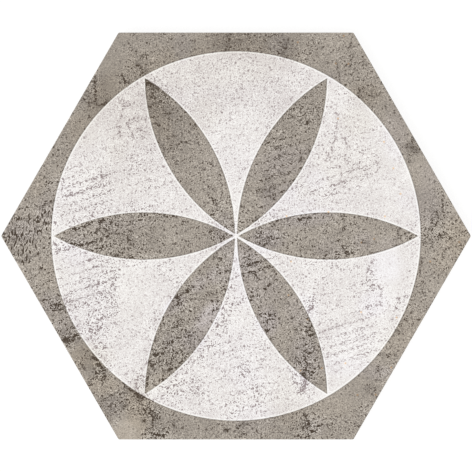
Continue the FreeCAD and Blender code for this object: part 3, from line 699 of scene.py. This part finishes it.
def tile_mesh(node):
    """The whole tile as one closed mesh, with a map for its textures, and each face's kind."""
    profile = side_profile()
    points = face_and_side_points(profile)
    faces, kinds = face_and_side_faces(len(profile))
    back_points, back_faces = back_points_and_faces(node, *points[:2])
    x, y, z = (np.concatenate(pair) for pair in zip(points, back_points))
    faces += back_faces
    kinds += [BACK] * len(back_faces)

    mesh = bpy.data.meshes.new("tile_finish")
    mesh.from_pydata(np.stack([x, y, z], axis=1) * MM, [], faces)
    values = (
        patched(x, y, WEAR_USUAL, WEAR),
        patched(x, y, SHADE_USUAL, SHADE) / 255,
        patched(x, y, WARMTH_USUAL, WARMTH) / 255,
        patched(x, y, LINED_UP_USUAL, LINED_UP),
        patched(x, y, MAZE_USUAL, MAZE),
        *nearest_mark(x, y),
    )
    for name, value in zip(POINT_VALUES, values):
        mesh.attributes.new(name, "FLOAT", "POINT").data.foreach_set("value", value)
    lay_out_map(mesh, kinds, profile)
    return mesh, kinds


def lay_out_map(mesh, kinds, profile):
    """Gives every face its place on the map of the textures."""
    sizes = np.empty(len(mesh.polygons), np.int32)
    mesh.polygons.foreach_get("loop_total", sizes)
    corners = np.empty(len(mesh.loops), np.int32)
    mesh.loops.foreach_get("vertex_index", corners)
    points = np.empty(len(mesh.vertices) * 3)
    mesh.vertices.foreach_get("co", points)
    level = points.reshape(-1, 3)[corners, :2] / MM
    kind = np.repeat(kinds, sizes)
    places = np.empty((len(corners), 2))
    on_face = kind == FACE
    places[on_face] = np.array(FACE_MAP_MIDDLE) + level[on_face] / FACE_MAP_SPAN
    on_back = kind == BACK
    # Seen from below, the tile's left and right change places.
    places[on_back] = np.array(BACK_MAP_MIDDLE) + level[on_back] * (-1, 1) / BACK_MAP_SPAN

    # A side lies as it is seen: its length from left to right and the face's edge on top.
    ring_x, ring_y = hexagon_ring(FLAT_TO_MIDDLE, FACE_RINGS, 1)
    steps = np.hypot(np.diff(ring_x), np.diff(ring_y))[:FACE_RINGS]
    along = np.concatenate([[0], np.cumsum(steps)]) / SIDE_MAP_SPAN
    rows = np.array([(FLAT_TO_MIDDLE - ARRIS_RADIUS, FACE_HEIGHT)] + profile)
    down = np.concatenate([[0], np.cumsum(np.hypot(*np.diff(rows, axis=0).T))]) / SIDE_MAP_SPAN
    row, side, step = np.meshgrid(
        np.arange(len(profile)), np.arange(SIDES), np.arange(FACE_RINGS), indexing="ij"
    )
    left = np.array(SIDE_MAP_LEFT)[side % 2]
    top = np.array(SIDE_MAP_TOP)[side // 2]
    quads = [
        (left + along[step + right], top - down[row + lower])
        for right, lower in ((0, 0), (0, 1), (1, 1), (1, 0))
    ]
    places[kind == SIDE] = np.array(quads).transpose(2, 3, 4, 0, 1).reshape(-1, 2)
    mesh.uv_layers.new(name="OFBake").data.foreach_set("uv", places.ravel())


# Materials


def add_node(tree, kind, *inputs, **settings):
    """Adds a node with its settings. Its inputs come in order, or as one dictionary by name or
    number. Each is a value, another node or one of its outputs. In order, a Map Range takes its
    value, the two ends of the range that it comes from and the two that it goes to."""
    node = tree.nodes.new("ShaderNode" + kind)
    for name, value in settings.items():
        setattr(node, name, value)
    named = inputs[0] if inputs and isinstance(inputs[0], dict) else dict(enumerate(inputs))
    for name, value in named.items():
        if isinstance(value, bpy.types.Node):
            value = value.outputs[0]
        if isinstance(value, bpy.types.NodeSocket):
            tree.links.new(value, node.inputs[name])
        else:
            node.inputs[name].default_value = value
    return node


def new_material(name):
    """An empty material, and add_node for its node tree."""
    material = bpy.data.materials.new(name)
    material.use_nodes = True
    material.node_tree.nodes.clear()
    return material, partial(add_node, material.node_tree)


# Colours of the print, from the darkest pit to the palest cement, each at its own lightness.
TAUPE = ("463a2e", "524539", "62584e", "766e67", "877f77", "968e84", "a59c91", "b3a99d",
         "c1b8ac", "d3ccc2")
PALE = ("978a8a", "a89d9d", "b6acac", "c7bebd", "d6cfcd", "e0dad8", "e8e4e0", "f2efed",
        "fbf9f6")
TAUPE_LEVEL = lightness("989086")
PALE_LEVEL = lightness("e5e0dd")
TAUPE_SPECKLE = 17.2 / 255
PALE_SPECKLE = 11.0 / 255

# How the cement's picture varies. Lengths are millimetres, and darkness is in speckles. A pair
# is where something begins and where it is full.
DRIFT_PER_MM = 0.45
DRIFT = (2.4, 2.4, 0)
TROWEL_SLOPE = math.radians(17)
TROWEL_STRETCH = (1.9, 0.9, 1)
ROW_SPACING = 4.8
ROW = (0.6, 0.95)
# What is added to a speck's level between two rows and in a row.
ROW_LEVELS = (0.6, -0.9)
# How long one wave of a wave texture is at a scale of 1.
WAVE_LENGTH = 0.314
WORM_DRIFT = (1.6, 1.6, 0)
WORM_SLOPE = math.radians(83)
WORM_STRETCH = (4.4, 1.45, 1)
DOTS_PER_MM = 0.85
DOT_CONTRAST = 0.6
DOTS_DIFFER = 0.2
DOT_MIDDLE = 0.12
DOTS_SHARE = 0.7
SPECKS_PER_MM = 1.5
NOISE_MIDDLE = 0.5
NOISE_SPREAD = 0.11
CLOUDS_PER_MM = 0.19
SPECKS_FROM = 0.07
SPECKS_BY_WEAR = 0.36
SPECKS_BY_CLOUDS = 1.5
SPECKS_BY_MARK = 0.9
SPECK_EDGE = 0.75
SPECK_DARKNESS = 0.3
SPECK_BY_WEAR = 6.0
SPECK_BY_MARK = 1.2
RIM = (0.9, 0.1)
RIM_LIGHTNESS = 2.8
GRAIN_PER_MM = 1.6
GRAIN_TWIST = 0.8
GRAIN = 4.6
GRAIN_BY_WEAR = 4.0
LIFT_BY_WEAR = 0.1
PITS_PER_MM = 0.4
PIT_DRIFT_PER_MM = 0.9
PIT_DRIFT = (0.9, 0.9, 0)
PIT_CHANCE = (0.8, 1.2)
PITS_BY_WEAR = 0.26
PIT = (0.85, 0.35)
PIT_RING = (1.6, 1.0)
PIT_DARKNESS = 4.2
RING_LIGHTNESS = 0.5
RUST_PER_MM = 0.07
RUST_FROM = 24
RUST_CHANCE = 0.62
RUST_DOT = (0.75, 0.35)
RUST_TINT = (1.04, 0.79, 0.55)
MARK_DARKNESS = 2.2
MARK_RAGGED = 1.6
MARK_RAGGED_PER_MM = 1.2
MARK_BLUR = 0.35
MOTTLE_PER_MM = 0.07
MOTTLE_CLOUDS = (0.2, 0.8)
MOTTLE = 9 / 255

# The line that runs along each side of an edge of the print, and how it changes the ink.
PALE_LINE = (-1.0, -0.5)
TAUPE_LINE = (0.9, 0.5)
EDGE_LIGHTER = 26 / 255
EDGE_DARKER = 18 / 255
EDGE_CALM = 0.5

# What a warm place adds to red and to blue, and how much more blue counts in the taupe.
WARMTH_TINT = (1.3, 0, -1.6)
TAUPE_BLUE = 0.5

# The glaze's surface, from its deepest pits to its skin.
GLAZE_DOTS = (-6, 2)
GLAZE_ROUGHNESS = (0.78, 0.58)
GLAZE_RELIEF = 0.12
IOR = 1.5

# The bare body, its iron specks and its white wash, and where the glaze ends on the sides.
BODY = ("7d7468", "9c9386", "b1a99c", "c3bcb1", "d2ccc2")
BODY_LEVEL = lightness("b5ad9f")
BODY_GRAIN_PER_MM = 1.9
BODY_GRAIN = 0.28
BODY_CLOUDS_PER_MM = 0.05
BODY_CLOUDS = 0.06
BODY_ROUGHNESS = 0.88
BODY_RELIEF = 0.2
IRON_PER_MM = 0.8
IRON = (0.66, 0.72)
IRON_DARKNESS = 0.16
WASH = "e4e1da"
WASH_PER_MM = 0.12
WASH_PATCHES = (0.40, 0.60)
WASH_SHARE = (0.1, 0.75)
WASH_HEIGHT = (0.25, 0.02)
GLAZE_ENDS = 8.0
GLAZE_RAGGED = 3.0
GLAZE_RAGGED_PER_MM = 0.13
GLAZE_BLUR = 0.1
GLAZE_GRAIN = 0.3
GLAZE_RUN_ROUGHNESS = 0.6


def place_in_mm(add):
    """The point that is shaded, in millimetres from the middle of the tile's back."""
    coordinates = add("TexCoord").outputs["Object"]
    return add("VectorMath", coordinates, (1 / MM, 1 / MM, 1 / MM), operation="MULTIPLY")


def colour_at(add, tone, colours):
    """The colour at a tone, out of colours that each stand at their own lightness."""
    ramp = add("ValToRGB", {"Fac": tone})
    stops = ramp.color_ramp.elements
    for stop, colour in zip(list(stops), (colours[0], colours[-1])):
        stop.position = lightness(colour)
        stop.color = linear(colour)
    for colour in colours[1:-1]:
        stops.new(lightness(colour)).color = linear(colour)
    return ramp


def cement_specks(add, place, wear, lined_up, maze, mark):
    """Dark specks in a faint grain, more of them the more the cement is worn."""
    drift = add("TexNoise", {"Vector": place, "Scale": DRIFT_PER_MM, "Detail": 1.0})
    drift = drift.outputs["Color"]
    drifted = add("VectorMath", drift, DRIFT, place, operation="MULTIPLY_ADD")
    bent = add("VectorMath", drift, WORM_DRIFT, place, operation="MULTIPLY_ADD")
    along_trowel, upright = (
        add(
            "Mapping", {"Vector": start, "Rotation": (0, 0, slope), "Scale": stretch},
            vector_type="TEXTURE",
        )
        for start, slope, stretch in (
            (drifted, TROWEL_SLOPE, TROWEL_STRETCH), (bent, WORM_SLOPE, WORM_STRETCH),
        )
    )
    # The specks are about 1 mm wide, and drawn no finer than the picture's pixels show.
    specks, strokes, worms = (
        add("TexNoise", {"Vector": point, "Scale": SPECKS_PER_MM, "Detail": 0.0})
        for point in (drifted, along_trowel, upright)
    )
    # Crisp dots stand among them, a little apart from one another and each of its own size.
    cells = add("TexVoronoi", {"Vector": drifted, "Scale": DOTS_PER_MM}, voronoi_dimensions="2D")
    chance = add("SeparateColor", cells.outputs["Color"]).outputs["Red"]
    size = add("Math", chance, DOTS_DIFFER, DOT_MIDDLE, operation="MULTIPLY_ADD")
    distance = cells.outputs["Distance"]
    dots = add("Math", distance, DOT_CONTRAST, size, operation="MULTIPLY_ADD")
    # Where a trowel has passed, the specks are short strokes instead, in rows along its way, and
    # where the skin has flaked, they are upright worm lines, about 2 mm apart.
    for share, others in ((DOTS_SHARE, dots), (lined_up, strokes), (maze, worms)):
        specks = add("Mix", {0: share, 2: specks, 3: others}, data_type="FLOAT")
    spread = (NOISE_MIDDLE - NOISE_SPREAD, NOISE_MIDDLE + NOISE_SPREAD)
    level = add("MapRange", specks, *spread, -1, 1, clamp=False)
    # The level that a speck starts from: the patches of wear, clouds a few millimetres wide
    # and the trowel's rows raise and lower it. The worm lines stand evenly, without clouds. In a
    # placed mark the specks stand so close that they run together.
    clouds = add("TexNoise", {"Vector": place, "Scale": CLOUDS_PER_MM, "Detail": 1.0})
    clouds = add("Mix", {0: maze, 2: clouds, 3: NOISE_MIDDLE}, data_type="FLOAT")
    scale = WAVE_LENGTH * TROWEL_STRETCH[1] / ROW_SPACING
    rows = add("TexWave", {"Vector": along_trowel, "Scale": scale}, bands_direction="Y")
    row = add("MapRange", rows.outputs["Fac"], *ROW, *ROW_LEVELS)
    start = SPECKS_FROM
    for cause, effect in (
        (wear, -SPECKS_BY_WEAR), (clouds, SPECKS_BY_CLOUDS), (row, lined_up),
        (mark, -SPECKS_BY_MARK),
    ):
        start = add("Math", cause, effect, start, operation="MULTIPLY_ADD")
    depth = add("Math", level, start, operation="ADD")
    speck = add("MapRange", depth, 0.0, -SPECK_EDGE)
    strength = add("Math", wear, SPECK_BY_WEAR, SPECK_DARKNESS, operation="MULTIPLY_ADD")
    strength = add("Math", mark, SPECK_BY_MARK, strength, operation="MULTIPLY_ADD")
    dark = add("Math", speck, strength, operation="MULTIPLY")
    # A light rim round each speck, as the cement's skin has round a pit.
    rim = add("MapRange", depth, *RIM)
    rim = add("Math", rim, speck, operation="SUBTRACT")
    lighter = add("Math", wear, -RIM_LIGHTNESS, operation="MULTIPLY")
    dark = add("Math", rim, lighter, dark, operation="MULTIPLY_ADD")
    # Between the specks shows a grain that is as fine as the picture's pixels.
    fine = {"Vector": place, "Scale": GRAIN_PER_MM, "Detail": 0.0, "Distortion": GRAIN_TWIST}
    grain = add("Math", add("TexNoise", fine), NOISE_MIDDLE, operation="SUBTRACT")
    faint = add("Math", wear, GRAIN_BY_WEAR, GRAIN, operation="MULTIPLY_ADD")
    faint = add("Math", faint, grain, operation="MULTIPLY")
    lift = add("Math", wear, LIFT_BY_WEAR, faint, operation="MULTIPLY_ADD")
    return add("Math", lift, dark, operation="SUBTRACT")


def scattered_pits(add, place, wear):
    """Dark pits about 1 mm wide and a few millimetres apart, each in a faint light ring."""
    drift = add("TexNoise", {"Vector": place, "Scale": PIT_DRIFT_PER_MM, "Detail": 0.0})
    drift = drift.outputs["Color"]
    drifted = add("VectorMath", drift, PIT_DRIFT, place, operation="MULTIPLY_ADD")
    cells = add("TexVoronoi", {"Vector": drifted, "Scale": PITS_PER_MM}, voronoi_dimensions="2D")
    # A pit's size and whether there is one at all come from the same chance.
    chance = add("SeparateColor", cells.outputs["Color"]).outputs["Red"]
    likely = add("Math", wear, PITS_BY_WEAR, chance, operation="MULTIPLY_ADD")
    size = add("MapRange", likely, *PIT_CHANCE)
    pit, ring = (
        add(
            "MapRange", cells.outputs["Distance"], begins * PITS_PER_MM, full * PITS_PER_MM,
            interpolation_type=fade,
        )
        for (begins, full), fade in ((PIT, "LINEAR"), (PIT_RING, "SMOOTHSTEP"))
    )
    ring = add("Math", ring, pit, operation="SUBTRACT")
    ring = add("Math", ring, RING_LIGHTNESS, operation="MULTIPLY")
    level = add("Math", pit, -PIT_DARKNESS, ring, operation="MULTIPLY_ADD")
    return add("Math", level, size, operation="MULTIPLY")


def placed_marks(add, place, across, half, darkness):
    """How much of a placed mark there is at a point, 0 to its darkness, with a ragged edge."""
    aside = add("Math", across, operation="ABSOLUTE")
    outside = add("Math", aside, half, operation="SUBTRACT")
    ragged = add("TexNoise", {"Vector": place, "Scale": MARK_RAGGED_PER_MM, "Detail": 0.0})
    outside = add("Math", ragged, MARK_RAGGED, outside, operation="MULTIPLY_ADD")
    middle = MARK_RAGGED / 2
    core = add("MapRange", outside, middle + MARK_BLUR, middle - MARK_BLUR)
    return add("Math", core, darkness, operation="MULTIPLY")


def rust_dots(add, place):
    """A few rusty dots on the right half, about 1 mm wide, as from iron in the clay."""
    cells = add("TexVoronoi", {"Vector": place, "Scale": RUST_PER_MM}, voronoi_dimensions="2D")
    chance = add("SeparateColor", cells.outputs["Color"]).outputs["Green"]
    rusty = add("Math", chance, RUST_CHANCE, operation="GREATER_THAN")
    right = add("Math", add("SeparateXYZ", place), RUST_FROM, operation="GREATER_THAN")
    begins, full = (reach * RUST_PER_MM for reach in RUST_DOT)
    dot = add("MapRange", cells.outputs["Distance"], begins, full)
    dot = add("Math", dot, rusty, operation="MULTIPLY")
    return add("Math", dot, right, operation="MULTIPLY")


def cement_mottle(add, place):
    """Soft clouds in the cement, from 10 mm down to 2 mm across."""
    soft = {"Vector": place, "Scale": MOTTLE_PER_MM, "Detail": 2.5, "Roughness": 0.6}
    return add("MapRange", add("TexNoise", soft), *MOTTLE_CLOUDS, -MOTTLE, MOTTLE)


def rosette(add, place):
    """How far inside the taupe print a point is: the six petals and all outside the disc."""
    level = add("VectorMath", place, (1, 1, 0), operation="MULTIPLY")
    middles = [(0, 0, 0)]
    for corner in range(SIDES):
        bearing = corner * math.pi / 3
        middles.append((DISC_RADIUS * math.cos(bearing), DISC_RADIUS * math.sin(bearing), 0))
    reach, *reaches = (
        add("VectorMath", level, middle, operation="DISTANCE").outputs["Value"]
        for middle in middles
    )
    taupe = add("Math", reach, DISC_RADIUS, operation="SUBTRACT")
    for corner in range(SIDES):
        # A petal is where the discs round the two points beside its own overlap.
        beside = (reaches[corner - 1], reaches[(corner + 1) % SIDES])
        further = add("Math", *beside, operation="MAXIMUM")
        petal = add("Math", PETAL_RADIUS, further, operation="SUBTRACT")
        taupe = add("Math", taupe, petal, operation="MAXIMUM")
    return taupe


def print_tint(add, place, warmth, taupe):
    """What the print's colour is multiplied by where the cement is warm, cool or rusty."""
    # A warm patch has less blue, and in the taupe more red too. A cool one has only more blue,
    # which looks lilac.
    redder = add("Math", warmth, 0.0, operation="MAXIMUM")
    redder = add("Math", redder, taupe, operation="MULTIPLY")
    strength = add("Math", taupe, TAUPE_BLUE, 1.0, operation="MULTIPLY_ADD")
    bluer = add("Math", warmth, strength, operation="MULTIPLY")
    tint = add("CombineXYZ", {0: redder, 2: bluer})
    tint = add("VectorMath", tint, WARMTH_TINT, (1, 1, 1), operation="MULTIPLY_ADD")
    rusty = {0: rust_dots(add, place), 4: tint, 5: RUST_TINT}
    return add("Mix", rusty, data_type="VECTOR").outputs[1]


def printed_glaze():
    """Matt glaze on porcelain stoneware, printed by ink jet before firing: no shine to speak of,
    crisp edges between the two colours, and one cement picture running under both."""
    material, add = new_material("printed_matt_glaze")
    place = place_in_mm(add)
    wear, shade, warmth, lined_up, maze, across, half, darkness = (
        add("Attribute", attribute_name=name).outputs["Fac"] for name in POINT_VALUES
    )
    mark = placed_marks(add, place, across, half, darkness)
    specks = cement_specks(add, place, wear, lined_up, maze, mark)
    dots = add("Math", specks, scattered_pits(add, place, wear), operation="ADD")
    dots = add("Math", mark, -MARK_DARKNESS, dots, operation="MULTIPLY_ADD")
    shade = add("Math", shade, cement_mottle(add, place), operation="ADD")
    depth = rosette(add, place)
    # Right beside an edge the pale ink is a little paler and freer of dots, and the taupe darker.
    outside, inside = (
        add("MapRange", depth, *line, interpolation_type="SMOOTHSTEP")
        for line in (PALE_LINE, TAUPE_LINE)
    )
    calm = add("Math", outside, -EDGE_CALM, 1.0, operation="MULTIPLY_ADD")
    pale_dots = add("Math", dots, calm, operation="MULTIPLY")
    colours = []
    for shades, level, speckle, own_dots, beside, change in (
        (PALE, PALE_LEVEL, PALE_SPECKLE, pale_dots, outside, EDGE_LIGHTER),
        (TAUPE, TAUPE_LEVEL, TAUPE_SPECKLE, dots, inside, -EDGE_DARKER),
    ):
        own_shade = add("Math", beside, change, shade, operation="MULTIPLY_ADD")
        base = add("Math", own_shade, level, operation="ADD")
        tone = add("Math", own_dots, speckle, base, operation="MULTIPLY_ADD")
        colours.append(colour_at(add, tone, shades))
    taupe = add("MapRange", depth, -EDGE_BLUR, EDGE_BLUR)
    printed = add("Mix", {0: taupe, 6: colours[0], 7: colours[1]}, data_type="RGBA").outputs[2]
    tint = print_tint(add, place, warmth, taupe)
    tinted = add("VectorMath", printed, tint, operation="MULTIPLY")
    # The dark specks are tiny pits, a little duller than the skin between them.
    bump = add("Bump", {"Height": dots, "Strength": 0.25, "Distance": GLAZE_RELIEF * MM})
    roughness = add("MapRange", dots, *GLAZE_DOTS, *GLAZE_ROUGHNESS)
    surface = add(
        "BsdfPrincipled",
        {"Base Color": tinted, "Roughness": roughness, "Normal": bump, "IOR": IOR,
         "Specular IOR Level": 0.35},
    )
    add("OutputMaterial", {"Surface": surface})
    return material


def bare_body():
    """Porcelain stoneware, pressed and fired without a glaze: dull, dense and grey-beige, grainy
    like fine sandpaper. The glaze of the face runs a little over the top of the sides, and the
    ribs and rim of the back keep the white wash that they slid through the kiln on."""
    material, add = new_material("bare_pressed_stoneware")
    place = place_in_mm(add)
    height = add("SeparateXYZ", place).outputs["Z"]
    grain, clouds, iron, run = (
        add("TexNoise", {"Vector": place, "Scale": scale, "Detail": detail})
        for scale, detail in (
            (BODY_GRAIN_PER_MM, 2.0), (BODY_CLOUDS_PER_MM, 3.0), (IRON_PER_MM, 1.0),
            (GLAZE_RAGGED_PER_MM, 3.0),
        )
    )
    # Iron in the clay burns to dark specks, drawn about half a millimetre wide.
    iron = add("MapRange", iron, *IRON, 0, -IRON_DARKNESS)
    level = BODY_LEVEL - BODY_GRAIN / 2
    tone = add("Math", grain, BODY_GRAIN, level, operation="MULTIPLY_ADD")
    tone = add("Math", clouds, BODY_CLOUDS, tone, operation="MULTIPLY_ADD")
    tone = add("Math", tone, iron, operation="ADD")
    body = colour_at(add, tone, BODY)

    # The wash lies thin and patchy, and only on what touched the rollers.
    patchy = {"Vector": place, "Scale": WASH_PER_MM, "Detail": 5.0, "Roughness": 0.65}
    wash = add("MapRange", add("TexNoise", patchy), *WASH_PATCHES, *WASH_SHARE)
    touched = add("MapRange", height, *WASH_HEIGHT)
    wash = add("Math", wash, touched, operation="MULTIPLY")
    washed = add("Mix", {0: wash, 6: body, 7: linear(WASH)}, data_type="RGBA").outputs[2]

    # The glaze ends in a ragged line on the band.
    line = add("Math", run, -GLAZE_RAGGED, height, operation="MULTIPLY_ADD")
    middle = GLAZE_ENDS - GLAZE_RAGGED / 2
    glazed = add("MapRange", line, middle - GLAZE_BLUR, middle + GLAZE_BLUR)
    level = TAUPE_LEVEL - GLAZE_GRAIN / 2
    glaze_tone = add("Math", grain, GLAZE_GRAIN, level, operation="MULTIPLY_ADD")
    glaze = colour_at(add, glaze_tone, TAUPE)
    colour = add("Mix", {0: glazed, 6: washed, 7: glaze}, data_type="RGBA").outputs[2]
    roughness = add("MapRange", glazed, 0, 1, BODY_ROUGHNESS, GLAZE_RUN_ROUGHNESS)
    bump = add("Bump", {"Height": grain, "Strength": 0.5, "Distance": BODY_RELIEF * MM})
    surface = add(
        "BsdfPrincipled",
        {"Base Color": colour, "Roughness": roughness, "Normal": bump, "IOR": IOR},
    )
    add("OutputMaterial", {"Surface": surface})
    return material


def make_tile():
    """The tile's finish: one closed piece that stands in for the whole solid."""
    mesh, kinds = tile_mesh(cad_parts[TILE])
    mesh.materials.append(printed_glaze())
    mesh.materials.append(bare_body())
    glazed = kinds.index(BACK) - kinds.count(SIDE) + GLAZED_ROWS * RING_POINTS
    mesh.polygons.foreach_set("material_index", [0] * glazed + [1] * (len(kinds) - glazed))
    mesh.shade_smooth()
    mesh.set_sharp_from_angle(angle=SMOOTH_UP_TO)
    tile = bpy.data.objects.new("tile_finish", mesh)
    bpy.context.scene.collection.objects.link(tile)
    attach(tile, "root")
    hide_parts(TILE)


# The floor, the light and the camera

FLOOR_WIDTH = 4000
FLOOR_GAP = 0.05
# The light that each of these gives back or gives off, where 1 is white.
FLOOR_PAINT = 0.9
FLOOR_GLOW = 1.1
WORLD_LIGHT = 0.83
LAMP_LIGHT = 0.27 * math.pi
FLOOR_GLOW_SHARE = 0.74
WHITE = (1, 1, 1, 1)
LAMP_ANGLE = math.radians(35)
LAMP_TURN = (math.radians(30), math.radians(-30), 0)
LENS = 100
SENSOR = 36
VIEW_WIDTH = 266.6


def seen_by_eye_or_reflection(add):
    """1 where the camera sees the background, itself or in gloss or glass, and else 0."""
    rays = add("LightPath").outputs
    seen = add("Math", rays["Is Camera Ray"], rays["Is Glossy Ray"], operation="MAXIMUM")
    return add("Math", seen, rays["Is Transmission Ray"], operation="MAXIMUM")


def make_floor():
    """A white floor that takes the tile's shadow, a hair below the tile's back."""
    bpy.ops.mesh.primitive_plane_add(size=FLOOR_WIDTH * MM, location=(0, 0, -FLOOR_GAP * MM))
    floor = bpy.context.object
    floor.name = "floor"
    material, add = new_material("white_floor")
    share = add(
        "Math", seen_by_eye_or_reflection(add), FLOOR_GLOW_SHARE, operation="MULTIPLY"
    )
    paint = add("BsdfDiffuse", {"Color": (FLOOR_PAINT, FLOOR_PAINT, FLOOR_PAINT, 1)})
    glow = add("Emission", {"Color": WHITE, "Strength": FLOOR_GLOW})
    add("OutputMaterial", {"Surface": add("MixShader", share, paint, glow)})
    floor.data.materials.append(material)


def make_light():
    """Even, soft light from all round, and a little more of it from the upper left.

    The world looks white, as the floor does, and lights the tile a little less.
    """
    world = bpy.data.worlds.new("soft_studio")
    world.use_nodes = True
    world.node_tree.nodes.clear()
    add = partial(add_node, world.node_tree)
    sky, white = (
        add("Background", {"Color": WHITE, "Strength": strength})
        for strength in (WORLD_LIGHT, 1.0)
    )
    shown = add("MixShader", seen_by_eye_or_reflection(add), sky, white)
    add("OutputWorld", {"Surface": shown})
    bpy.context.scene.world = world
    lamp = bpy.data.lights.new("window", "SUN")
    lamp.energy = LAMP_LIGHT
    lamp.angle = LAMP_ANGLE
    lamp_object = bpy.data.objects.new("window", lamp)
    lamp_object.rotation_euler = LAMP_TURN
    bpy.context.scene.collection.objects.link(lamp_object)


def make_camera():
    """Looks straight down from far enough that the tile shows no perspective to speak of."""
    camera = bpy.data.cameras.new("camera")
    camera.lens = LENS
    camera.sensor_width = SENSOR
    camera_object = bpy.data.objects.new("camera", camera)
    camera_object.location = (0, 0, (FACE_HEIGHT + VIEW_WIDTH * LENS / SENSOR) * MM)
    bpy.context.scene.collection.objects.link(camera_object)
    bpy.context.scene.camera = camera_object


bpy.context.scene.view_settings.view_transform = "Standard"
make_camera()
make_light()
make_floor()
make_tile()
